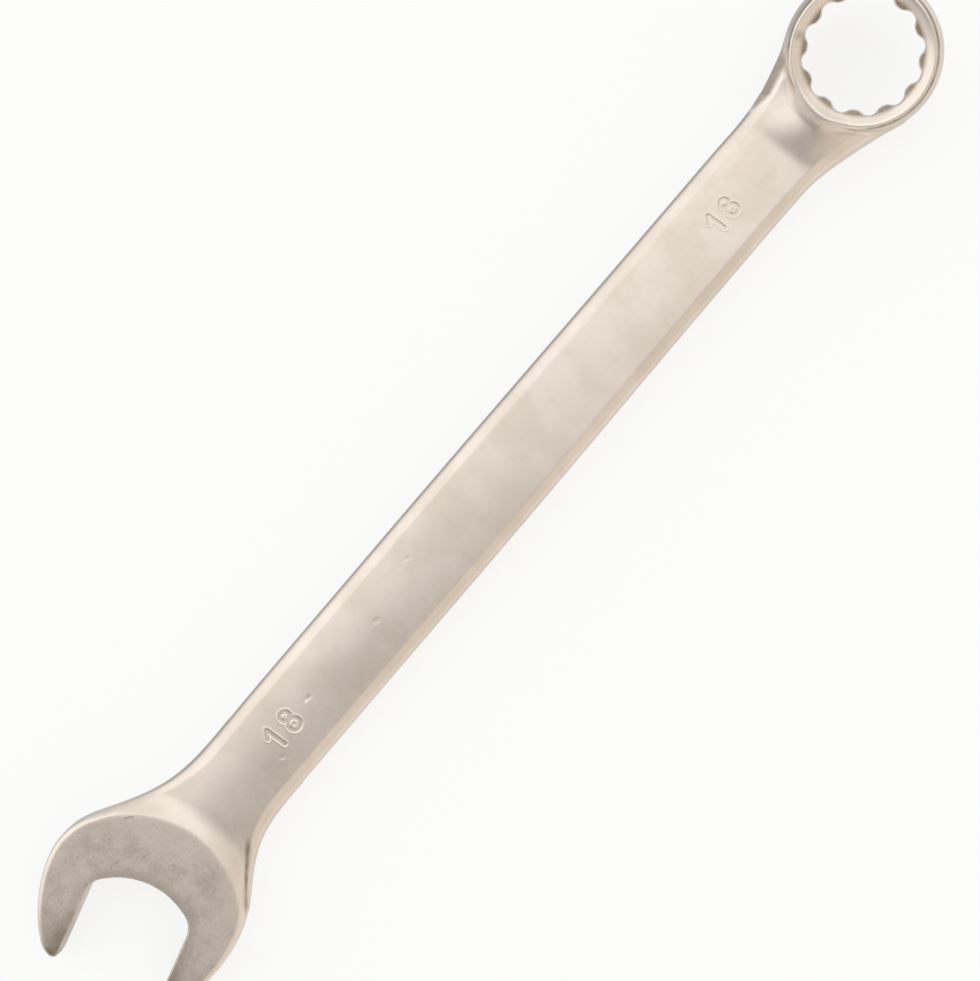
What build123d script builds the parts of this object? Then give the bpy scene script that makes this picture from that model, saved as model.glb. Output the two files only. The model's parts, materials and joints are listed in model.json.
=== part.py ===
from build123d import *
import os
from math import cos, radians, sin, sqrt, tan

# Combination wrench, 18 mm: an open end, a shank and a cranked 12-point ring end.
# The real tool is one drop forging. It is written here as three solids that meet face
# to face at two flat sections across the shank and belong to one rigid body.
#
# Construction frame, mm: X runs along the shank towards the ring, Y = 0 is the shank's
# axis, and Z = 0 is the surface that the wrench lies on. The last step shifts X and Y
# so that the origin is under the middle of the finished wrench.

# --- Sizes that drive the rest ---
jaw_opening = 18.2             # between the two jaw flats
ring_opening = 18.15           # between opposite flats of the 12-point hole
jaw_angle = 16.5               # jaw axis, turned from the shank
ring_tilt = 15.0               # ring plane, raised towards its free end

shank_width = 16.3
shank_thickness = 6.6
shank_edge = 2.2               # rounding along the shank's edges
mid_height = 4.0               # mid-plane of the shank and of the open end

head_thickness = 8.0
head_edge = 0.5                # rounding around the open end's ground faces
face_centre = (-94.6, -1.6)    # ground faces of the open end
face_radius = 18.9
face_run = 4.0                 # length of the slope from ground face to shank

throat_centre = (-99.7, -3.2)
throat_radius = 12.9
throat_corner = 1.2
nose_reach = 4.8               # jaw tips, past the throat's centre along the jaw axis
tip_inner_round = 1.3
tip_outer_round = 2.3

jaw_back_radius = 24.4         # outside curve of both jaws, towards the tips
upper_shoulder = (-90.8, 4.6)  # centres and radii of the outside curve at the shoulders
upper_radius = 12.5
lower_shoulder = (-89.9, 2.1)
lower_radius = 20.1
upper_span = (59, 108, 152)    # directions where the neck, the jaw back and the tip begin
lower_span = (305, 286, 218)
upper_ease_end = -61.5         # where each neck has run into the shank's straight edge
lower_ease_end = -59.5
ring_ease_end = 71.0

ring_centre = (95.6, -0.4)
ring_thickness = 11.0
ring_radius = 13.25            # at mid-height of the barrel-shaped wall
ring_face_radius = 12.35
ring_edge = 0.6
funnel_radius = 11.7           # lead-in cone at each face
funnel_depth = 2.0
notch_round = 0.9              # roundings inside the 12-point hole
tooth_round = 1.6
notch_turn = -12.2             # one notch's direction, turned from the shank
neck_lean = 18.5               # where the neck leaves the ring, from the ring's widest
crank_start = 74.5             # where the flat panel ends and the neck rises

head_seam = -58.0              # sections between the three solids
ring_seam = 70.0
beyond = 150                   # farther than any part of the wrench reaches


def on_circle(centre, radius, degrees):
    angle = radians(degrees)
    return Vector(centre) + Vector(radius * cos(angle), radius * sin(angle))


def eased_neck(start, slope, edge_y, end_x):
    """Curve that leaves a round end at the given slope and runs into the shank's edge."""
    pull = 0.85
    corner = Vector(start.X + (edge_y - start.Y) / slope, edge_y)
    end = Vector(end_x, edge_y)
    return Bezier(start, start + (corner - start) * pull, end + (corner - end) * pull, end)


def jaw_back(centre, radius, leave, meet, tip):
    """Shoulder arc, then jaw-back arc tangent to it; the three angles are in degrees."""
    back_centre = on_circle(centre, radius - jaw_back_radius, meet)
    joint = on_circle(centre, radius, meet)
    shoulder = ThreePointArc(on_circle(centre, radius, leave),
                             on_circle(centre, radius, (leave + meet) / 2), joint)
    back = ThreePointArc(joint, on_circle(back_centre, jaw_back_radius, (meet + tip) / 2),
                         on_circle(back_centre, jaw_back_radius, tip))
    return shoulder, back


def outline():
    """Plan shape of the forging, with the mouth and the ring still filled."""
    half = shank_width / 2
    upper, upper_back = jaw_back(upper_shoulder, upper_radius, *upper_span)
    lower, lower_back = jaw_back(lower_shoulder, lower_radius, *lower_span)
    upper_slope = -1 / tan(radians(upper_span[0]))
    lower_slope = -1 / tan(radians(lower_span[0]))
    ring_up = on_circle(ring_centre, ring_radius, 90 + neck_lean)
    ring_down = on_circle(ring_centre, ring_radius, 270 - neck_lean)
    middle = Vector(ring_centre)
    slope = tan(radians(neck_lean))
    head_up = eased_neck(upper @ 0, upper_slope, half, upper_ease_end)
    head_down = eased_neck(lower @ 0, lower_slope, -half, lower_ease_end)
    neck_up = eased_neck(ring_up, slope, half, ring_ease_end)
    neck_down = eased_neck(ring_down, -slope, -half, ring_ease_end)
    edges = [upper, upper_back, lower, lower_back, head_up, head_down, neck_up, neck_down,
             Line(upper_back @ 1, lower_back @ 1), Line(head_up @ 1, neck_up @ 1),
             Line(head_down @ 1, neck_down @ 1),
             Line(ring_up, middle), Line(middle, ring_down)]
    return make_face(Wire.combine(edges, tol=1e-4)[0].edges())


def jaw_plane():
    """Plane on the throat's centre whose X axis points out of the jaws."""
    turn = radians(jaw_angle)
    return Plane(origin=(*throat_centre, 0), x_dir=(-cos(turn), -sin(turn), 0),
                 z_dir=(0, 0, 1))


def mouth():
    """Plan shape cut out of the open end: the jaw slot with its round throat."""
    slot = Rectangle(2 * beyond, jaw_opening)
    ahead = Rectangle(beyond, 2 * beyond, align=(Align.MIN, Align.CENTER))
    return jaw_plane() * (slot & (Circle(throat_radius) + ahead))


def past_the_nose():
    """Plan area beyond the jaw tips."""
    ahead = Rectangle(beyond, 2 * beyond, align=(Align.MIN, Align.CENTER))
    return jaw_plane() * Pos(nose_reach, 0) * ahead


def corners_at(plan, reach, nearest, farthest):
    """Corners of the plan at one distance along the jaw axis and a range off it."""
    chosen = []
    for corner in plan.vertices():
        place = jaw_plane().to_local_coords(Vector(*corner))
        if abs(place.X - reach) < 0.1 and nearest < abs(place.Y) < farthest:
            chosen.append(corner)
    return chosen


def jaw_plan():
    """Plan of the whole wrench with the mouth open and the jaw corners rounded."""
    half = jaw_opening / 2
    throat_reach = -sqrt(throat_radius ** 2 - half ** 2)
    plan = outline() - past_the_nose() - mouth()
    plan = fillet(corners_at(plan, throat_reach, half - 0.1, half + 0.1), throat_corner)
    plan = fillet(corners_at(plan, nose_reach, half - 0.1, half + 0.1), tip_inner_round)
    return fillet(corners_at(plan, nose_reach, half + 1, half + 4), tip_outer_round)


def ring_height():
    """Height of the ring's centre at which its lower rim just touches the table."""
    tilt = radians(ring_tilt)
    half = ring_thickness / 2
    bulge = ring_radius - ring_face_radius
    wall_curve = (half ** 2 + bulge ** 2) / (2 * bulge)
    rim_down = half - ring_edge
    rim_out = ring_radius - wall_curve + sqrt((wall_curve - ring_edge) ** 2 - rim_down ** 2)
    return rim_down * cos(tilt) + rim_out * sin(tilt) + ring_edge


def crank_line(offset):
    """Side view of a line in the shank, level and then bent up to the ring's plane.

    The offset is measured up from the middle of the thickness. The bend is a round whose
    centre is above the shank, and it brings the middle line to the ring's centre.
    """
    tilt = radians(ring_tilt)
    run = ring_centre[0] - crank_start
    rise = ring_height() - mid_height
    bend = (run * tan(tilt) - rise) / (1 / cos(tilt) - 1) - offset
    level = mid_height + offset
    start = Vector(crank_start, level)
    end = start + Vector(bend * sin(tilt), bend * (1 - cos(tilt)))
    last = Vector(ring_centre[0] - offset * sin(tilt), ring_height() + offset * cos(tilt))
    return [Line((-beyond, level), start), TangentArc(start, end, tangent=(1, 0)),
            Line(end, last)]


def is_long_edge(edge):
    """True for the edges that run along the shank's upper and lower faces."""
    start, end = edge @ 0, edge @ 1
    upright = abs(start.Z - end.Z) > shank_thickness / 2
    middle = Vector((edge @ 0.5).X, (edge @ 0.5).Y)
    in_ring = (middle - Vector(ring_centre)).length < ring_radius - 1
    at_nose = jaw_plane().to_local_coords(middle).X > nose_reach - 0.1
    return not (upright or in_ring or at_nose)


def shank_plate():
    """Shank and both necks at shank thickness, with their long edges well rounded."""
    half = shank_thickness / 2
    top, bottom = crank_line(half), crank_line(-half)
    ends = [Line(top[0] @ 0, bottom[0] @ 0), Line(top[-1] @ 1, bottom[-1] @ 1)]
    side = make_face(Wire.combine(top + bottom + ends, tol=1e-4)[0].edges())
    slab = extrude(Plane.XZ * side, beyond, both=True)
    plan = outline() - past_the_nose()
    plate = slab & extrude(plan, beyond)
    plate = fillet([edge for edge in plate.edges() if is_long_edge(edge)], shank_edge)
    return plate - extrude(plan - jaw_plan(), beyond)


def open_end():
    """Open end at full thickness, with the slope from its ground faces to the shank."""
    blank = extrude(jaw_plan(), head_thickness)
    faces = blank.faces().sort_by(Axis.Z)
    rims = faces[0].edges() + faces[-1].edges()
    blank = fillet([edge for edge in rims if (edge @ 0.5).X < ring_seam], head_edge)
    high, low = head_thickness / 2, shank_thickness / 2
    foot = face_radius + face_run
    hollow = ThreePointArc((face_radius, high), (face_radius + face_run * 0.4,
                                                 low + (high - low) * 0.42), (foot, low))
    section = make_face([Line((0, 0), (0, high)), Line((0, high), (face_radius, high)),
                         hollow, Line((foot, low), (foot, 0)), Line((foot, 0), (0, 0))])
    upper = revolve(Plane.XZ * section, Axis.Z)
    return blank & (Pos(*face_centre, mid_height) * (upper + mirror(upper, Plane.XY)))


def ring_blank():
    """Barrel-shaped ring, still solid, in its own upright frame."""
    half = ring_thickness / 2
    wall = ThreePointArc((ring_face_radius, -half), (ring_radius, 0), (ring_face_radius, half))
    section = make_face([Line((0, -half), (ring_face_radius, -half)), wall,
                         Line((ring_face_radius, half), (0, half)), Line((0, half), (0, -half))])
    rims = [corner for corner in section.vertices() if corner.X > 1]
    return revolve(Plane.XZ * fillet(rims, ring_edge), Axis.Z)


def ring_hole():
    """Twelve-point hole with a lead-in cone at each face, in the ring's own frame."""
    apothem = ring_opening / 2
    star = Sketch() + RegularPolygon(apothem, 6, major_radius=False)
    star += RegularPolygon(apothem, 6, major_radius=False, rotation=30)
    notches = [corner for corner in star.vertices() if Vector(*corner).length > apothem * 1.08]
    star = fillet(notches, notch_round)
    teeth = [corner for corner in star.vertices() if Vector(*corner).length < apothem * 1.05]
    star = fillet(teeth, tooth_round)
    half = ring_thickness / 2
    slope = (funnel_radius - apothem) / funnel_depth
    past = head_thickness
    section = make_face(Polyline((0, half - funnel_depth), (apothem, half - funnel_depth),
                                 (apothem + slope * (funnel_depth + past), half + past),
                                 (0, half + past), close=True))
    funnel = revolve(Plane.XZ * section, Axis.Z)
    turn = Rot(0, 0, notch_turn)
    return turn * extrude(star, ring_thickness, both=True) + funnel + mirror(funnel, Plane.XY)


def forging():
    """The whole wrench as one body, in the construction frame."""
    ring_place = Pos(*ring_centre, ring_height()) * Rot(0, -ring_tilt, 0)
    body = shank_plate() + open_end() + ring_place * ring_blank()
    return body - ring_place * ring_hole()


def between(body, left, right):
    """The stretch of the body between two sections across the shank."""
    window = Box(right - left, beyond, beyond)
    return body & (Pos((left + right) / 2, 0, 0) * window)


wrench = forging()
limits = wrench.bounding_box()
to_origin = Pos(-limits.center().X, -limits.center().Y, -limits.min.Z)
nodes = {
    "open_end_head": between(wrench, -beyond, head_seam),
    "shank": between(wrench, head_seam, ring_seam),
    "ring_head": between(wrench, ring_seam, beyond),
}
os.makedirs("parts", exist_ok=True)
for name, solid in nodes.items():
    export_step(to_origin * solid, f"parts/{name}.step")
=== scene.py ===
# Combination wrench, 18 mm, lying on a pale surface with its cranked ring end raised.
# Shapes are worked out in millimetres and made in metres.

import json
from math import atan2, cos, pi, radians, sin, tan

import bmesh
import bpy
import numpy as np
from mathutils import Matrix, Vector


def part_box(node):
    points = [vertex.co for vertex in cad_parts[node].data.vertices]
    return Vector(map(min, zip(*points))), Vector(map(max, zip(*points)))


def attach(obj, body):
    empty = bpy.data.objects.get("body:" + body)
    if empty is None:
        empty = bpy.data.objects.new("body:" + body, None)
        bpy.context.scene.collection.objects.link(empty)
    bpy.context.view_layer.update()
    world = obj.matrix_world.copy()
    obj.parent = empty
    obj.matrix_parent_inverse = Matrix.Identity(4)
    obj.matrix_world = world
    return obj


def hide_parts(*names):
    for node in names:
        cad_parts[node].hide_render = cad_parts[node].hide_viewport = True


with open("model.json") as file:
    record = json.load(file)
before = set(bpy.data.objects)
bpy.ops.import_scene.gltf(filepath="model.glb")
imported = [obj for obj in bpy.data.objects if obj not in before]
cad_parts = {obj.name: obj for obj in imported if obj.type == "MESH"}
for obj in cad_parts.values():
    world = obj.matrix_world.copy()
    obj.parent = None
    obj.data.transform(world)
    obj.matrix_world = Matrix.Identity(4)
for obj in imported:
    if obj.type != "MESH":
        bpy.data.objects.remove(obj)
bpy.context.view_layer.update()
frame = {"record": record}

import openvdb
from mathutils import Matrix, Vector


# ---------------------------------------------------------------------------------------
# Shank
# The flat bar between the two ends, of drop-forged chrome-vanadium steel, plated in satin
# chrome. Its faces are slightly crowned, its long edges are well rounded, and it widens
# into a neck at each end. It is one forging with both ends, so nothing fixes it to them.
# ---------------------------------------------------------------------------------------
MM = 0.001
shank_low, shank_high = (np.array(corner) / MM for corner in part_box("shank"))
head_seam, ring_seam = shank_low[0], shank_high[0]
axis_y, mid_z = (shank_low[1:] + shank_high[1:]) / 2
half_width, half_thick = (shank_high[1:] - shank_low[1:]) / 2
long_edge_round = 2.2
crown_at_jaws, crown_at_ring = 0.55, 0.12       # fall of each face from axis to long edge
crown_change = (-45, 25)                        # where along the bar it goes from one to the other

mounts = {mount["name"]: mount for mount in frame["record"]["mounts"]}
nut_seat = np.array(mounts["jaw_opening"]["pos_m"]) / MM
ring_centre = np.array(mounts["ring_socket"]["pos_m"]) / MM
ring_axis = np.array(mounts["ring_socket"]["axis"])
ring_tilt = atan2(-ring_axis[0], ring_axis[2])

jaw_turn = radians(16.5)                        # jaw axis, turned from the shank
jaw_out = np.array([-cos(jaw_turn), -sin(jaw_turn)])
jaw_side = np.array([-sin(jaw_turn), cos(jaw_turn)])
throat = nut_seat[:2] + 2.0 * jaw_out           # a seated nut stands this far inside it

upper_shoulder, upper_radius = throat + (8.9, 7.8), 12.3
lower_shoulder, lower_radius = throat + (9.8, 5.3), 19.85
upper_leave, lower_leave = radians(59), radians(-55)
upper_ease_end, lower_ease_end = throat[0] + 38.2, throat[0] + 40.2
ring_ease_end = ring_seam + 1.0
ring_radius = 13.25                             # at the middle of the ring's height
neck_lean = radians(18.5)                       # where the neck leaves the ring's side
crank_run = 21.1                                # from the start of the crank to the ring
die_draft = 0.05                                # the sides lean in, to leave the die


def ease(value, start, end):
    """Goes softly from 0 at the start to 1 at the end."""
    share = np.clip((value - start) / (end - start), 0, 1)
    return share * share * (3 - 2 * share)


def around(centre, radius, angle):
    """Point on a circle in plan."""
    return np.array([centre[0] + radius * cos(angle), centre[1] + radius * sin(angle)])


def eased_neck(start, slope, edge_y, end_x):
    """Points of the curve by which a neck runs from a round end into the shank's edge."""
    pull = 0.85
    end = np.array([end_x, edge_y])
    corner = np.array([start[0] + (edge_y - start[1]) / slope, edge_y])
    near, far = start + pull * (corner - start), end + pull * (corner - end)
    share = np.linspace(0, 1, 800)[:, None]
    curve = ((1 - share) ** 3 * start + 3 * share * (1 - share) ** 2 * near
             + 3 * share ** 2 * (1 - share) * far + share ** 3 * end)
    return curve[np.argsort(curve[:, 0])]


def fullness(along, side):
    """How far the forging stands outside the plain outline, which it meets at the jaws.

    Places are along the bar, from the middle of the wrench.
    """
    if side > 0:
        return (0.17 - 0.3 * ease(along, -20, 60) - 0.25 * ease(along, 64, 80)
                - 0.17 * ease(-along, 50, 66))
    return (0.15 - 0.27 * ease(along, -5, 50) + 0.1 * ease(along, 60, 80)
            - 0.15 * ease(-along, 60, 75))


def shank_edge(side, shoulder, radius, leave, ease_end):
    """One edge of the plan, from the open end's shoulder to the side of the ring.

    Gives places along it, its height in plan and its slope, blurred where curves meet.
    """
    edge_y = axis_y + side * half_width
    ring_side = around(ring_centre, ring_radius, side * (pi / 2 + neck_lean))
    near_head = eased_neck(around(shoulder, radius, leave), -1 / tan(leave), edge_y, ease_end)
    near_ring = eased_neck(ring_side, side * tan(neck_lean), edge_y, ring_ease_end)
    edge = np.vstack([near_head, near_ring])
    along = np.linspace(edge[0, 0], edge[-1, 0], 3000)
    height = np.interp(along, edge[:, 0], edge[:, 1]) + side * fullness(along, side)
    blur_reach = 20
    blur = np.hanning(2 * blur_reach + 1) / blur_reach
    height = np.pad(height, blur_reach, "reflect", reflect_type="odd")
    height = np.convolve(height, blur, "valid")
    return along, height, np.gradient(height, along)


upper_edge = shank_edge(+1, upper_shoulder, upper_radius, upper_leave, upper_ease_end)
lower_edge = shank_edge(-1, lower_shoulder, lower_radius, lower_leave, lower_ease_end)


def past_edge(x, y, side, edge):
    """Signed distance in plan to one edge, negative on the steel's side."""
    along, height, slope = edge
    foot = x + 0 * y
    for _ in range(4):
        drop = np.clip(y - np.interp(foot, along, height), -4, 4)
        foot = x + drop * np.interp(foot, along, slope)
    drop = y - np.interp(foot, along, height)
    return side * drop * np.sqrt(1 + np.interp(foot, along, slope) ** 2)


def past_both_edges(x, y):
    return np.maximum(past_edge(x, y, +1, upper_edge), past_edge(x, y, -1, lower_edge))


def round_cut(a, b, radius):
    """Distance to what two solids share, with the edge between them rounded."""
    corner = np.hypot(np.maximum(a + radius, 0), np.maximum(b + radius, 0))
    return np.minimum(np.maximum(a, b), -radius) + corner


def off_mid_plane(x, z):
    """Height over the shank's middle, which bends up in a round to the ring's plane."""
    start = ring_centre[0] - crank_run
    rise = ring_centre[2] - mid_z
    bend = (crank_run * tan(ring_tilt) - rise) / (1 / cos(ring_tilt) - 1)
    below = mid_z + bend - z
    angle = np.arctan2(x - start, below)
    level = z - mid_z + 0 * x
    bent = bend - np.hypot(x - start, below)
    raised = (z - ring_centre[2]) * cos(ring_tilt) - (x - ring_centre[0]) * sin(ring_tilt)
    return np.where(angle < 0, level, np.where(angle < ring_tilt, bent, raised))


def crowned_half(x, y):
    """Half the shank's thickness: well crowned near the jaws, almost flat near the ring."""
    change = ease(x, *crown_change)
    crown = crown_at_ring + (crown_at_jaws - crown_at_ring) * (1 - change)
    across = ((y - axis_y) / half_width) ** 2
    return half_thick - crown * across / (1 + 0.3 * across ** 2) ** 0.5


# The size, 18, is pressed into the top face near each end: centre, size of the figures,
# depth, and how soft their edges have become.
stamps = [((throat[0] + 46.9, axis_y + 0.2), 0.94, 0.085, 0.15),
          ((ring_seam - 9.65, axis_y + 0.1), 0.84, 0.045, 0.17)]
stroke_width = 0.72
one_strokes = [((-3.3, 0.75), (-2.25, 2.0)), ((-2.25, 2.0), (-1.9, -2.1))]
eight_rings = [((1.75, 1.1), 0.85), ((1.9, -1.0), 1.1)]
lip_height, lip_place = 0.35, 1.6               # in shares of the depth and of the softness

# Small knocks from use: place, radius and depth.
knocks = [(throat[0] + 43.2, -2.3, 0.6, 0.035), (throat[0] + 70.7, 0.5, 0.7, 0.025),
          (throat[0] + 53.4, 0.85, 0.55, 0.05), (throat[0] + 82.0, 3.3, 0.5, 0.02),
          (ring_seam + 11.6, -1.9, 0.4, 0.03)]


def off_line(x, y, start, end):
    """Distance in plan to a straight line between two points."""
    run_x, run_y = end[0] - start[0], end[1] - start[1]
    share = ((x - start[0]) * run_x + (y - start[1]) * run_y) / (run_x ** 2 + run_y ** 2)
    share = np.clip(share, 0, 1)
    return np.hypot(x - start[0] - share * run_x, y - start[1] - share * run_y)


def mark_depth(x, y):
    """How deep the stamped figures and the knocks go into the top face."""
    depth = 0 * (x + y)
    for (cx, cy), size, sink, softness in stamps:
        px, py = (x - cx) / size, (y - cy) / size
        reaches = [off_line(px, py, start, end) for start, end in one_strokes]
        reaches += [np.abs(np.hypot(px - ex, py - ey) - radius)
                    for (ex, ey), radius in eight_rings]
        off_stroke = np.minimum.reduce(reaches) - stroke_width / 2
        groove = 1 - ease(off_stroke, -softness, softness)
        lip = np.exp(-(off_stroke / softness - lip_place) ** 2)
        depth = depth + sink * (groove - lip_height * lip)
    for cx, cy, radius, sink in knocks:         # each a small oval that leans
        reach = np.hypot(x - cx + 0.3 * (y - cy), 1.3 * (y - cy)) / radius
        depth = depth + sink * np.exp(-reach ** 4)
    return depth


# Long shallow waves left in the faces: height, turns along X, Y and Z, and start.
waves = [(0.007, 0.19, 0.33, 0, 0.8), (0.004, 0.31, -0.45, 0, 0),
         (0.002, 0.21, 0.9, 1, 0), (0.002, 0.75, 0.4, -1, 0)]


def swell(x, y, z):
    """The slight unevenness that die forging and tumbling leave in the faces."""
    return sum(height * np.sin(kx * x + ky * y + kz * z + start)
               for height, kx, ky, kz, start in waves)


def bar(x, y, z, outline, half, edge_round):
    """The flat bar: an outline in plan, a half thickness and rounded long edges."""
    height = off_mid_plane(x, z)
    thickness = half + swell(x, y, z) - np.where(height > 0, mark_depth(x, y), 0)
    sides = outline + die_draft * np.abs(height)
    return round_cut(sides, np.abs(height) - thickness, edge_round)


def shank(x, y, z):
    return bar(x, y, z, past_both_edges(x, y), crowned_half(x, y), long_edge_round)


def lean(distance, points):
    """Direction in which the distance grows at each point, and how fast."""
    step = 0.02
    slope = np.empty_like(points)
    for axis in range(3):
        shift = np.zeros(3)
        shift[axis] = step
        ahead, behind = (points + shift).T, (points - shift).T
        slope[:, axis] = (distance(*ahead) - distance(*behind)) / (2 * step)
    return slope


def settle(distance, points, held=None):
    """Moves points onto the surface; those held stay in their section across the bar."""
    for _ in range(4):
        slope = lean(distance, points)
        if held is not None:
            slope[held, 0] = 0
        pace = distance(*points.T) / np.maximum((slope ** 2).sum(1), 0.05)
        points = points - slope * np.clip(pace, -0.3, 0.3)[:, None]
    return points


def edge_curvature(distance, points):
    """Curvature at each point: positive on outside edges, negative in hollows. It drives lighter
    edges, partly a painted highlight, and painted shade in hollows.
    """
    reach = 0.3
    total = -6 * distance(*points.T)
    for axis in range(3):
        shift = np.zeros(3)
        shift[axis] = reach
        total += distance(*(points + shift).T) + distance(*(points - shift).T)
    return total / reach ** 2


def steel_piece(name, points, faces, distance, masks, flat):
    """Mesh object with smooth normals taken from the shape; the flat faces stay flat."""
    mesh = bpy.data.meshes.new(name)
    mesh.from_pydata(points * MM, [], faces)
    mesh.polygons.foreach_set("use_smooth", np.ones(len(faces), bool))
    slope = lean(distance, points)
    slope /= np.linalg.norm(slope, axis=1)[:, None]
    corners = np.empty(len(mesh.loops), int)
    mesh.loops.foreach_get("vertex_index", corners)
    normals = slope[corners]
    for face in flat:
        polygon = mesh.polygons[face]
        normals[list(polygon.loop_indices)] = polygon.normal
    mesh.normals_split_custom_set(normals)
    values = {label: mask(*points.T) for label, mask in masks.items()}
    values["edge"] = edge_curvature(distance, points)
    for label, value in values.items():
        layer = mesh.attributes.new(label, "FLOAT", "POINT")
        layer.data.foreach_set("value", np.ascontiguousarray(value, dtype=np.float32))
    piece = bpy.data.objects.new(name, mesh)
    bpy.context.scene.collection.objects.link(piece)
    return piece


def stations(breaks, steps):
    """Places along a line: between each two breaks, spaced by about the step given."""
    runs = [np.linspace(a, b, max(2, round((b - a) / step) + 1))[:-1]
            for a, b, step in zip(breaks, breaks[1:], steps)]
    return np.append(np.concatenate(runs), breaks[-1])


def shank_mesh():
    """Sections across the bar, joined up, and close together at the figures and one knock."""
    near_jaw, near_ring = (stamp[0][0] for stamp in stamps)
    knock = knocks[1][0]
    along = stations([head_seam, near_jaw - 4.5, near_jaw + 4, knock - 1, knock + 1,
                      near_ring - 4.5, near_ring + 4, ring_seam],
                     [0.2, 0.1, 0.7, 0.14, 0.7, 0.1, 0.5])
    flat_y, flat_z = half_width - long_edge_round, half_thick - long_edge_round
    top = stations([-flat_y, -3.2, 3.4, flat_y], [0.4, 0.1, 0.4])[::-1]
    bottom = stations([-flat_y, flat_y], [0.8])
    quarter = np.linspace(0, pi / 2, 9)
    corner = np.column_stack([np.sin(quarter), np.cos(quarter)]) * long_edge_round
    loop = [(y, half_thick) for y in top]
    loop += [(-flat_y - out, flat_z + up) for out, up in corner[1:]]
    loop += [(-flat_y - out, -flat_z - up) for out, up in corner[::-1]]
    loop += [(y, -half_thick) for y in bottom[1:-1]]
    loop += [(flat_y + out, -flat_z - up) for out, up in corner]
    loop += [(flat_y + out, flat_z + up) for out, up in corner[::-1][:-1]]
    loop = np.array(loop) + (axis_y, mid_z)
    count, n = len(along), len(loop)
    points = np.column_stack([np.repeat(along, n), np.tile(loop[:, 0], count),
                              np.tile(loop[:, 1], count)])
    points = settle(shank, points, held=slice(None))
    faces = [(i * n + j, i * n + (j + 1) % n, (i + 1) * n + (j + 1) % n, (i + 1) * n + j)
             for i in range(count - 1) for j in range(n)]
    ends = [tuple(range(n))[::-1], tuple(range((count - 1) * n, count * n))]
    return points, faces + ends


points, faces = shank_mesh()
shank_piece = steel_piece("shank_forging", points, faces, shank, {},
                          flat=[len(faces) - 2, len(faces) - 1])


def linear(code):
    """sRGB hex colour as linear RGBA."""
    parts = [int(code[i:i + 2], 16) / 255 for i in (1, 3, 5)]
    return [c / 12.92 if c < 0.04045 else ((c + 0.055) / 1.055) ** 2.4 for c in parts] + [1]


def add(tree, kind, output, inputs, **settings):
    """Adds a node with its settings and links, and gives the output asked for."""
    node = tree.nodes.new(kind)
    for name, value in settings.items():
        setattr(node, name, value)
    for name, value in inputs.items():
        if isinstance(value, bpy.types.NodeSocket):
            tree.links.new(value, node.inputs[name])
        else:
            node.inputs[name].default_value = value
    return None if output is None else node.outputs[output]


# Satin chrome over nickel, on steel that was tumbled or blasted before plating. It gives
# a soft, slightly warm grey with wide blurred reflections and no sharp mirror image.
satin_chrome = bpy.data.materials.new("satin_chrome_plate")
satin_chrome.use_nodes = True
tree = satin_chrome.node_tree
shader = tree.nodes["Principled BSDF"]
place = add(tree, "ShaderNodeTexCoord", "Object", {})
facing = add(tree, "ShaderNodeTexCoord", "Normal", {})
upright = add(tree, "ShaderNodeSeparateXYZ", "Z", {0: facing})
outward = add(tree, "ShaderNodeSeparateXYZ", "Y", {0: facing})
upright = add(tree, "ShaderNodeMath", 0, {0: upright}, operation="ABSOLUTE")
# The grime attribute holds both dirt and painted shade.
edge, ground, grime_and_shade = (add(tree, "ShaderNodeAttribute", "Fac", {}, attribute_name=name)
                       for name in ("edge", "ground", "grime_and_shade"))

# Unevenness of the plating: clouds across the bar, blotches of dulling, specks, the pits
# of blasting, and the satin grain. Each has its size in millimetres, detail and roughness.
# Real satin grain is nearer 0.05 mm; it is drawn coarser, to be seen at all.
noises = [(9.0, 2, 0.5), (2.6, 5, 0.62), (0.8, 4, 0.6), (0.5, 3, 0.7), (0.3, 3, 0.6)]
clouds, blotches, specks, blasted, grain = (
    add(tree, "ShaderNodeTexNoise", "Fac", {"Vector": place, "Scale": 1 / (size * MM),
                                           "Detail": detail, "Roughness": roughness})
    for size, detail, roughness in noises)


def layers(colour, coats):
    """Colour with coats laid over it: each shows where its source passes low to high."""
    for source, low, high, strength, code in coats:
        share = add(tree, "ShaderNodeMapRange", "Result",
                    {"Value": source, "From Min": low, "From Max": high, "To Max": strength},
                    interpolation_type="SMOOTHSTEP")
        colour = add(tree, "ShaderNodeMix", 2, {0: share, 6: colour, 7: linear(code)},
                     data_type="RGBA")
    return colour


plated = layers(linear("#DFD3C7"), [(clouds, 0.35, 0.65, 1.0, "#E8DCD1"),
                                    (blotches, 0.5, 0.75, 0.22, "#CDC0B3")])
# The ground faces were blasted and the hole was broached, which leaves them duller, with
# light and dark pits.
dulled = layers(linear("#C2B6AA"), [(blotches, 0.35, 0.65, 1.0, "#D4C9BE"),
                                    (clouds, 0.35, 0.65, 0.6, "#E0D5CA"),
                                    (blasted, 0.5, 0.7, 0.4, "#EAE1D6"),
                                    (blasted, 0.45, 0.28, 0.4, "#93877B")])
colour = add(tree, "ShaderNodeMix", 2, {0: ground, 6: plated, 7: dulled}, data_type="RGBA")
patchy = add(tree, "ShaderNodeMapRange", "Result",
             {"Value": blotches, "From Min": 0.25, "From Max": 0.65, "To Min": 0.45})
# Where grime darkens the colour: partly old grease, partly painted shade.
dirt_and_shade_share = add(tree, "ShaderNodeMath", 0, {0: grime_and_shade, 1: patchy}, operation="MULTIPLY")
# Lighter edges: partly metal rubbed bright, partly a painted highlight.
rubbed_and_highlight = add(tree, "ShaderNodeMath", 0, {0: blotches, 1: 0.8, 2: edge},
             operation="MULTIPLY_ADD")
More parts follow.
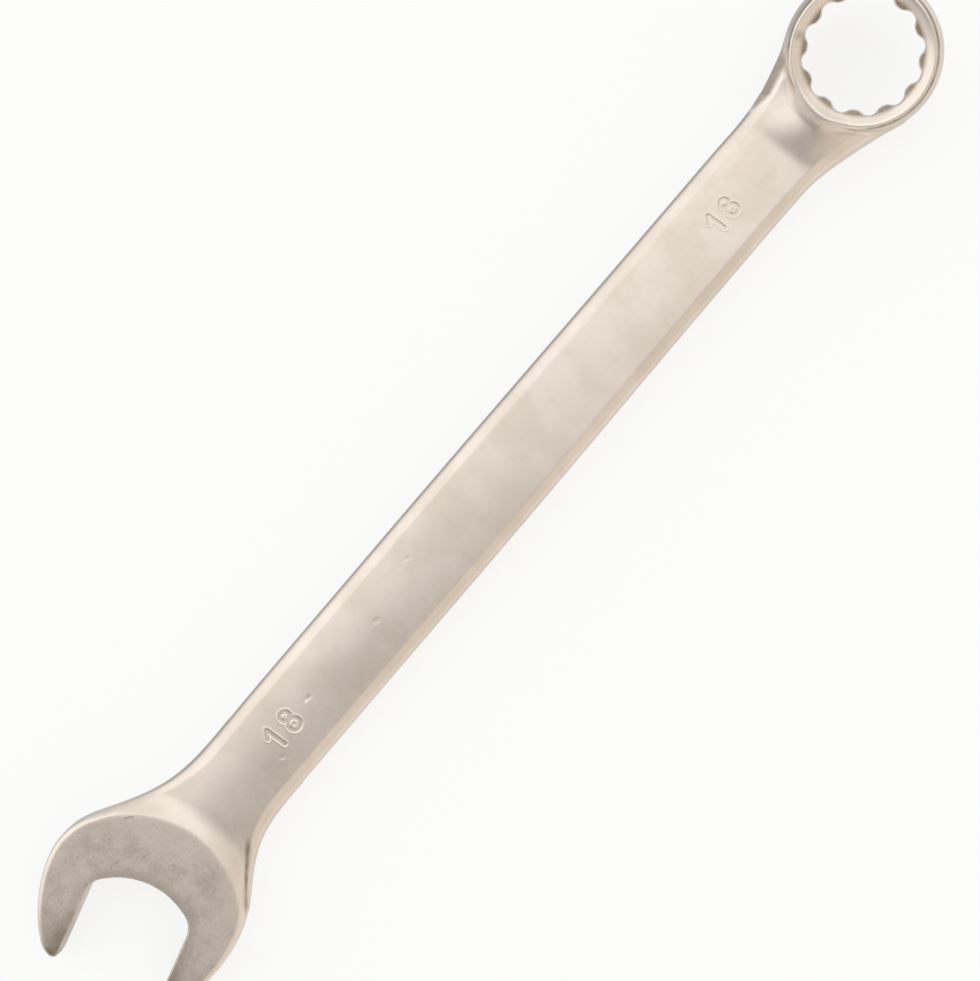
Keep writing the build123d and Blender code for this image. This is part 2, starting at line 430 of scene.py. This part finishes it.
# From the bottom up: the sides painted a darker warm beige, a painted reflection; the far
# side painted greyer, painted shade; edges lighter, partly rubbed metal and partly a painted
# highlight; painted shade in the hollows; and grime, partly old grease and partly painted shade.
colour = layers(colour, [(upright, 0.75, 0.25, 0.65, "#C6B69D"),
                         (outward, 0.75, 0.92, 0.75, "#88807A"),
                         (rubbed_and_highlight, 0.9, 2.2, 0.6, "#F0E7DB"),
                         (edge, -0.3, -1.4, 0.4, "#9A8A76"),
                         (dirt_and_shade_share, 0.0, 1.0, 0.95, "#857766")])
tree.links.new(colour, shader.inputs["Base Color"])
shader.inputs["Metallic"].default_value = 1
gloss = add(tree, "ShaderNodeMapRange", "Result",
            {"Value": specks, "From Min": 0.3, "From Max": 0.7, "To Min": 0.27, "To Max": 0.33})
gloss = add(tree, "ShaderNodeMath", 0, {0: ground, 1: 0.06, 2: gloss},
            operation="MULTIPLY_ADD")
tree.links.new(gloss, shader.inputs["Roughness"])
pits = add(tree, "ShaderNodeMath", 0, {0: specks, 1: ground}, operation="MULTIPLY")
relief = add(tree, "ShaderNodeMath", 0, {0: grain, 1: 0.1, 2: clouds},
             operation="MULTIPLY_ADD")
relief = add(tree, "ShaderNodeMath", 0, {0: pits, 1: 0.5, 2: relief},
             operation="MULTIPLY_ADD")
bump = add(tree, "ShaderNodeBump", "Normal", {"Height": relief, "Distance": 0.02 * MM,
                                              "Strength": 0.6})
tree.links.new(bump, shader.inputs["Normal"])


def finish(piece, node):
    """Plates one stretch of the forging, and lets it stand for its solid."""
    piece.data.materials.append(satin_chrome)
    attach(piece, "root")
    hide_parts(node)


finish(shank_piece, "shank")


# ---------------------------------------------------------------------------------------
# Open end
# The jaws, of the same plated steel, forged in one with the shank and turned to one side.
# Both broad faces are ground flat and blasted, and the mouth is milled for an 18 mm nut.
# Round the faces the steel slopes down to the shank, with a small fold at the lower edge.
# ---------------------------------------------------------------------------------------
head_low, head_high = (np.array(corner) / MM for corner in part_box("open_end_head"))
head_half = (head_high[2] - head_low[2]) / 2
jaw_half_gap = 9.1
mouth_shift = 0.2                               # the mouth sits this much nearer the lower jaw
mouth_corner = 1.0
throat_radius = 12.9
nose_reach = 5.3
nose_rounds = (2.2, 1.6)                        # outer and inner corners of the jaw tips
jaw_back_radius = 24.4
upper_meet, lower_meet = radians(108), radians(74)
face_centre = throat + (5.1, 1.6)
face_radius = 18.9
face_run = 4.0                                  # length of the slope from face to shank
crest_round = 0.09
jaw_edge_round, flat_edge_round = 1.0, 0.2      # round the jaws, and along the nut's flats
full_edge_reach = 31                            # by here the edge is as round as the shank's
fold_depth = 0.05
fold_thin, fold_wide = 0.32, 0.65
fold_run = np.linspace(18.9, 29.4, 40)
fold_x = throat[0] + fold_run
fold_y = throat[1] - 4.2 - 6.8 * ((fold_run[-1] - fold_run) / 9.0) ** 1.15
# Fine nicks from tools on the top face, from the throat: start, end and width.
nicks = [((18.4, 13.77), (19.6, 12.87), 0.16), ((15.0, 7.17), (16.4, 6.97), 0.13),
         ((10.8, 10.17), (12.3, 9.87), 0.13), ((8.6, -6.33), (9.3, -7.73), 0.12)]


def past_jaw_back(x, y, side, shoulder, radius, leave, meet, edge):
    """Signed distance in plan to one outside curve: neck, shoulder arc, jaw-back arc."""
    back = around(shoulder, radius - jaw_back_radius, side * meet)
    angle = np.arctan2(side * (y - shoulder[1]), x - shoulder[0])
    angle = np.where(angle < -pi / 2, angle + 2 * pi, angle)
    on_shoulder = np.hypot(x - shoulder[0], y - shoulder[1]) - radius
    on_back = np.hypot(x - back[0], y - back[1]) - jaw_back_radius
    on_arc = np.where(angle > meet, on_back, on_shoulder)
    return np.where(angle > abs(leave), on_arc, past_edge(x, y, side, edge))


def mouth(x, y):
    """Signed distance in plan to the mouth, negative inside it, and the reach out of it."""
    out = (x - throat[0]) * jaw_out[0] + (y - throat[1]) * jaw_out[1]
    off = (x - throat[0]) * jaw_side[0] + (y - throat[1]) * jaw_side[1] + mouth_shift
    bottom = np.minimum(np.hypot(out, off) - throat_radius, -out)
    return round_cut(np.abs(off) - jaw_half_gap, bottom, mouth_corner), out


def fold(x, y):
    """Nearness to the fold, wide where it starts on the neck and thin round the jaw."""
    first, last = fold_x[0], fold_x[-1]
    reach = y - np.interp(x, fold_x, fold_y)
    reach = reach / np.hypot(1, np.interp(x, fold_x, np.gradient(fold_y, fold_x)))
    width = fold_thin + (fold_wide - fold_thin) * ease(x, first + 4, last)
    ends = ease(x, first - 0.5, first + 1.5) * ease(-x, -last - 0.5, 1.8 - last)
    return np.exp(-(reach / width) ** 2) * ends


def open_end(x, y, z):
    """Distance to the open end: outline, mouth, ground faces and the slope round them."""
    upper = past_jaw_back(x, y, +1, upper_shoulder, upper_radius, upper_leave, upper_meet,
                          upper_edge)
    lower = past_jaw_back(x, y, -1, lower_shoulder, lower_radius, lower_leave, lower_meet,
                          lower_edge)
    opening, out = mouth(x, y)
    outline = round_cut(np.maximum(upper, lower), out - nose_reach, nose_rounds[0])
    outline = round_cut(outline, -opening, nose_rounds[1])
    reach = np.hypot(x - face_centre[0], y - face_centre[1])
    slope = (reach - face_radius) / face_run
    slope = np.minimum((slope + np.hypot(slope, crest_round)) / 2, 1)
    half = crowned_half(x, y)
    half = half + (head_half - half) * (1 - slope) ** 2 - fold_depth * fold(x, y)
    widening = ease(reach, face_radius, full_edge_reach)
    edge_round = jaw_edge_round + (long_edge_round - jaw_edge_round) * widening
    along_flats = ease(-opening, -1.5, -0.7) * ease(-out, 0.8 - nose_reach, 2.6 - nose_reach)
    edge_round = edge_round - (jaw_edge_round - flat_edge_round) * along_flats
    return bar(x, y, z, outline, half, edge_round)


def skin(distance, low, high, cell):
    """Even quads over the surface inside a box, settled onto it."""
    counts = np.ceil((np.array(high) - low) / cell).astype(int)
    x, y, z = (low[i] + cell * np.arange(counts[i]) for i in range(3))
    field = distance(x[:, None, None], y[None, :, None], z[None, None, :])
    grid = openvdb.FloatGrid(10.0)
    field = np.broadcast_to(field, counts)
    grid.copyFromArray(np.ascontiguousarray(field, dtype=np.float32))
    corners, quads = grid.convertToQuads(isovalue=0.0)
    return settle(distance, corners.astype(float) * cell + low), quads


def end_piece(name, distance, masks, low, high, seam, side):
    """One end of the forging, cut off square and closed at its seam with the shank."""
    points, quads = skin(distance, low, high, cell=0.2)
    mesh = bmesh.new()
    verts = [mesh.verts.new(point) for point in points]
    for quad in quads:
        mesh.faces.new([verts[i] for i in quad])
    everything = mesh.verts[:] + mesh.edges[:] + mesh.faces[:]
    bmesh.ops.bisect_plane(mesh, geom=everything, plane_co=(seam, 0, 0),
                           plane_no=(side, 0, 0), clear_outer=True)
    rim = [edge for edge in mesh.edges if edge.is_boundary]
    cap = bmesh.ops.contextual_create(mesh, geom=rim)["faces"]
    bmesh.ops.recalc_face_normals(mesh, faces=mesh.faces)
    mesh.verts.index_update()
    mesh.faces.index_update()
    points = np.array([vert.co for vert in mesh.verts])
    faces = [[vert.index for vert in face.verts] for face in mesh.faces]
    flat = [face.index for face in cap]
    held = np.abs(points[:, 0] - seam) < 1e-4
    mesh.free()
    return steel_piece(name, settle(distance, points, held), faces, distance, masks, flat)


def ground_faces(x, y, z):
    """How matt the ground faces are: fully so by the mouth, less towards their rim."""
    reach = np.hypot(x - face_centre[0], y - face_centre[1])
    matt = 1 - 0.4 * ease(reach, face_radius - 6, face_radius)
    return matt * ease(np.abs(z - mid_z), head_half - 0.16, head_half - 0.02)


def jaw_dirt_and_shade(x, y, z):
    """Darker round the mouth and towards the tips, painted shade and dirt in the fold, and dirt in
    the nicks.
    """
    opening, out = mouth(x, y)
    dirt_and_shade = 0.5 * ease(-opening, -3.6, 0) + 0.5 * ease(out, -6, 4)    # the mouth, the tips
    # Painted shade and dirt in the fold.
    dirt_and_shade = np.maximum(dirt_and_shade, 0.85 * fold(x, y))
    for start, end, width in nicks:
        reach = off_line(x - throat[0], y - throat[1], start, end)
        dirt_and_shade = np.maximum(dirt_and_shade, 0.75 * np.exp(-(reach / width) ** 2) * (z > mid_z))
    return dirt_and_shade


head_masks = {"ground": ground_faces, "grime_and_shade": jaw_dirt_and_shade}
head_piece = end_piece("open_end_forging", open_end, head_masks, head_low - 1.0,
                       head_high + (2.0, 1.0, 1.0), head_seam, +1)
finish(head_piece, "open_end_head")


# ---------------------------------------------------------------------------------------
# Ring end
# The closed end, of the same plated steel, forged in one with the shank and cranked up 15
# degrees. Its 12-point hole is broached and countersunk on both sides. The neck swells
# where it joins the ring, and its upper side is trimmed to a facet.
# ---------------------------------------------------------------------------------------
ring_low, ring_high = (np.array(corner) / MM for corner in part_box("ring_head"))
ring_half = 5.5
ring_face_radius = 12.1
rim_round = 0.55
notch_radius, tooth_radius = 10.28, 9.28
notch_turn = radians(-12.2)
dish_radius, dish_slope = 11.6, radians(32)
bevel_radius, bevel_slope = notch_radius + 0.05, radians(50)
dish_depth = (dish_radius - bevel_radius) * tan(dish_slope)
dish_foot_round, hole_edge_round = 0.2, 0.3
neck_growth = 1.8
neck_rise_start, neck_rise_run = 5.4, 3.4       # from the seam, and how gently it rises
neck_rise_side, neck_rise_spread = -2.2, 6.2    # the swelling is off the axis
underside_share = 0.55                          # of the swelling on top
neck_stop = 4.2                                 # it ends inside the ring, before its centre
join_round, top_join_round, top_join_spread = 0.7, 1.5, 5.5
facet_width, facet_slope = 1.6, radians(62)
facet_full, facet_run = 10.6, 5.6               # from the seam; length over which it opens


def round_join(a, b, radius):
    """Distance to two solids together, with a hollow round where they meet."""
    corner = np.hypot(np.maximum(radius - a, 0), np.maximum(radius - b, 0))
    return np.maximum(np.minimum(a, b), radius) - corner


def twelve_point(x, y):
    """Signed distance to the hole: twelve rounded notches between twelve rounded teeth."""
    wave = np.cos(12 * np.arctan2(y, x))
    wave = wave * (1.45 - 0.45 * wave ** 2)     # blunter than a plain wave
    middle, swing = (notch_radius + tooth_radius) / 2, (notch_radius - tooth_radius) / 2
    lean_share = 0.9                            # the flanks lean, so the steel is nearer
    return (np.hypot(x, y) - middle - swing * wave) * lean_share


def in_ring(x, y, z):
    """Place in the ring's own plane, and height above the ring's middle."""
    across = (x - ring_centre[0]) * cos(ring_tilt) + (z - ring_centre[2]) * sin(ring_tilt)
    up = (z - ring_centre[2]) * cos(ring_tilt) - (x - ring_centre[0]) * sin(ring_tilt)
    return across, y - ring_centre[1], up


def facet(x, y):
    """Distance in plan past the line where the trimmed facet starts."""
    opened = np.clip(1 - (ring_seam + facet_full - x) / facet_run, -0.6, 1)
    return past_edge(x, y, +1, upper_edge) + facet_width * opened


def ring_neck(x, y, z):
    """The neck: the bar swelling towards the ring, with its upper side cut to a facet."""
    height = off_mid_plane(x, z)
    past_start = x - ring_seam - neck_rise_start + 0.12 * y
    past_start = (past_start + np.hypot(past_start, 1.1)) / 2
    swelling = neck_growth * (1 - np.exp(-past_start / neck_rise_run))
    swelling = swelling * ease(x, ring_seam, ring_seam + 4)
    aside = (y - axis_y - neck_rise_side) / neck_rise_spread
    swelling = swelling * np.exp(-aside ** 2)
    swelling = swelling * (underside_share + (1 - underside_share) * ease(height, -2, 2))
    half = crowned_half(x, y)
    neck = bar(x, y, z, past_both_edges(x, y), half + swelling, long_edge_round)
    neck = np.maximum(neck, x - ring_centre[0] + neck_stop)
    trimmed = facet(x, y) * sin(facet_slope) + (np.abs(height) - half) * cos(facet_slope)
    return round_cut(neck, trimmed, 0.5)


def ring_end(x, y, z):
    """Distance to the ring end: barrel and neck together, with the hole cut through."""
    across, side, up = in_ring(x, y, z)
    radius = np.hypot(across, side)
    bulge = ring_radius - ring_face_radius
    wall_curve = (ring_half ** 2 + bulge ** 2) / (2 * bulge)
    wall = np.hypot(radius - ring_radius + wall_curve, up) - wall_curve
    barrel = round_cut(wall, np.abs(up) - ring_half, rim_round)
    on_top = np.exp(-((y - axis_y) / top_join_spread) ** 4) * ease(up, -2, 2)
    body = round_join(ring_neck(x, y, z), barrel, join_round + top_join_round * on_top)
    depth = ring_half - np.abs(up)
    dish = (dish_radius - radius) * sin(dish_slope) - depth * cos(dish_slope)
    bevel = (bevel_radius - radius) * sin(bevel_slope) - (depth - dish_depth) * cos(bevel_slope)
    turned_x = across * cos(notch_turn) + side * sin(notch_turn)
    turned_y = side * cos(notch_turn) - across * sin(notch_turn)
    countersink = round_join(-dish, -bevel, dish_foot_round)
    hole = np.minimum(countersink, twelve_point(turned_x, turned_y))
    return round_cut(body, -hole, hole_edge_round)


def broached_hole(x, y, z):
    """A little dull in the dish, more on the teeth: they are cut after the tumbling."""
    across, side, up = in_ring(x, y, z)
    radius = np.hypot(across, side)
    return 0.22 * ease(-radius, -11.7, -11.3) + 0.38 * ease(-radius, -10.6, -10.2)


def ring_shade_and_patch(x, y, z):
    """Painted shade as a dark line round the rim's outer edge and as a darker band along the
    facet; also one darker patch in the dish.
    """
    across, side, up = in_ring(x, y, z)
    radius = np.hypot(across, side)
    # Painted shade: a dark line where the rim's round meets the barrel wall.
    line_place, line_spread = ring_face_radius + 0.13, 0.24
    line = np.exp(-((radius - line_place) / line_spread) ** 4)
    line = line * ease(np.abs(up), 4.0, 5.0) * (1 - 0.9 * ease(-across, 6.5, 11.0))
    patch_place = (-4.4, 10.0)
    patch = np.hypot(across - patch_place[0], side - patch_place[1])
    patch = np.exp(-patch ** 2) * (up > 0)
    # Painted shade along the facet, where the neck's side wall shows.
    trimmed = ease(facet(x, y), -0.1, 0.25) * ease(x, ring_seam + 8, ring_seam + 10)
    trimmed = trimmed * ease(-x, -ring_seam - 20, -ring_seam - 16) * (np.abs(up) < 4.5)
    return np.maximum.reduce([0.95 * line, 0.6 * patch, 0.6 * trimmed])


ring_masks = {"ground": broached_hole, "grime_and_shade": ring_shade_and_patch}
ring_piece = end_piece("ring_end_forging", ring_end, ring_masks, ring_low - (2.0, 1.0, 1.0),
                       ring_high + 1.0, ring_seam, -1)
finish(ring_piece, "ring_head")


# ---------------------------------------------------------------------------------------
# Surface under the wrench
# A sheet of matt white card, larger than anything in view. The eye and the bright steel
# both see it as an even white, with the wrench's own soft shadow.
# ---------------------------------------------------------------------------------------
card_half = 1.5
card_mesh = bpy.data.meshes.new("card")
card_mesh.from_pydata([(-card_half, -card_half, 0), (card_half, -card_half, 0),
                       (card_half, card_half, 0), (-card_half, card_half, 0)],
                      [], [(0, 1, 2, 3)])
card = bpy.data.objects.new("card", card_mesh)
bpy.context.scene.collection.objects.link(card)

white_card = bpy.data.materials.new("matt_white_card")
white_card.use_nodes = True
tree = white_card.node_tree
tree.nodes.clear()
seen = 0.0
for ray in ("Is Camera Ray", "Is Glossy Ray", "Is Transmission Ray"):
    share = add(tree, "ShaderNodeLightPath", ray, {})
    seen = add(tree, "ShaderNodeMath", 0, {0: share, 1: seen}, operation="ADD", use_clamp=True)
even_share = 0.82                               # the rest takes light and shadow
seen = add(tree, "ShaderNodeMath", 0, {0: seen, 1: even_share}, operation="MULTIPLY")
shadowed = add(tree, "ShaderNodeBsdfDiffuse", 0, {"Color": linear("#F9F9F9")})
even_white = add(tree, "ShaderNodeEmission", 0, {"Color": linear("#FFFFFF")})
surface = add(tree, "ShaderNodeMixShader", 0, {0: seen, 1: shadowed, 2: even_white})
add(tree, "ShaderNodeOutputMaterial", None, {"Surface": surface})
card.data.materials.append(white_card)


# ---------------------------------------------------------------------------------------
# Light
# A white room, all soft light: brighter towards the ring and the far edge, dimmer towards
# the jaws and past the ring, warm at the near wall, and bright again low down all round.
# ---------------------------------------------------------------------------------------
room = bpy.data.worlds.new("studio")
bpy.context.scene.world = room
room.use_nodes = True
tree = room.node_tree
tree.nodes.clear()
way = add(tree, "ShaderNodeTexCoord", "Generated", {})
east, north, height = (add(tree, "ShaderNodeSeparateXYZ", axis, {0: way}) for axis in "XYZ")
toward = add(tree, "ShaderNodeMath", 0, {0: north, 1: 1.6, 2: east}, operation="MULTIPLY_ADD")
corner = add(tree, "ShaderNodeMath", 0, {0: north, 1: -0.5, 2: east}, operation="MULTIPLY_ADD")
walls = [(toward, -0.5, -0.05, 0.4, 0.66), (toward, -0.12, 0.30, 0.0, 0.58),
         (corner, 0.04, 0.20, 0.0, 0.17), (east, 0.2, 0.4, 0.0, -0.32),
         (height, 0.6, 0.3, 0.0, 0.75), (north, -0.15, -0.45, 0.0, 1.0)]
wall_light, panel_light, corner_light, end_dimming, low_light, near_wall = (
    add(tree, "ShaderNodeMapRange", "Result",
        {"Value": source, "From Min": low, "From Max": high, "To Min": dim, "To Max": bright},
        interpolation_type="SMOOTHSTEP")
    for source, low, high, dim, bright in walls)
level = wall_light
for more in (panel_light, corner_light, end_dimming):
    level = add(tree, "ShaderNodeMath", 0, {0: level, 1: more}, operation="ADD")
level = add(tree, "ShaderNodeMath", 0, {0: level, 1: low_light}, operation="MAXIMUM")
light = add(tree, "ShaderNodeCombineColor", 0, {0: level, 1: level, 2: level})
light = add(tree, "ShaderNodeMix", 2, {0: near_wall, 6: light, 7: linear("#EEE8DE")},
            data_type="RGBA")
room_light = add(tree, "ShaderNodeBackground", 0, {"Color": light})
plain_white = add(tree, "ShaderNodeBackground", 0, {"Color": linear("#FFFFFF")})
direct = add(tree, "ShaderNodeLightPath", "Is Camera Ray", {})
surround = add(tree, "ShaderNodeMixShader", 0, {0: direct, 1: room_light, 2: plain_white})
add(tree, "ShaderNodeOutputWorld", None, {"Surface": surround})


# ---------------------------------------------------------------------------------------
# Camera
# Straight above the wrench and close to it, turned so that the ring end is at the upper
# right. The top of the ring and the tip of the lower jaw fall outside the picture.
# ---------------------------------------------------------------------------------------
lens = bpy.data.cameras.new("camera")
lens.sensor_width = 36
lens.lens = 78.98                               # a short telephoto
camera = bpy.data.objects.new("camera", lens)
bpy.context.scene.collection.objects.link(camera)
aim = Vector((-0.00091, 0.0002, 0.004))
camera_height = 0.363                           # above the point it looks at
back = Vector((0, 0, 1))
up = Vector((0.7608, 0.6490, 0)).normalized()
right = up.cross(back)
turned = Matrix((right, up, back)).transposed().to_4x4()
camera.matrix_world = Matrix.Translation(aim + back * camera_height) @ turned
bpy.context.scene.camera = camera
bpy.context.scene.view_settings.view_transform = "Standard"
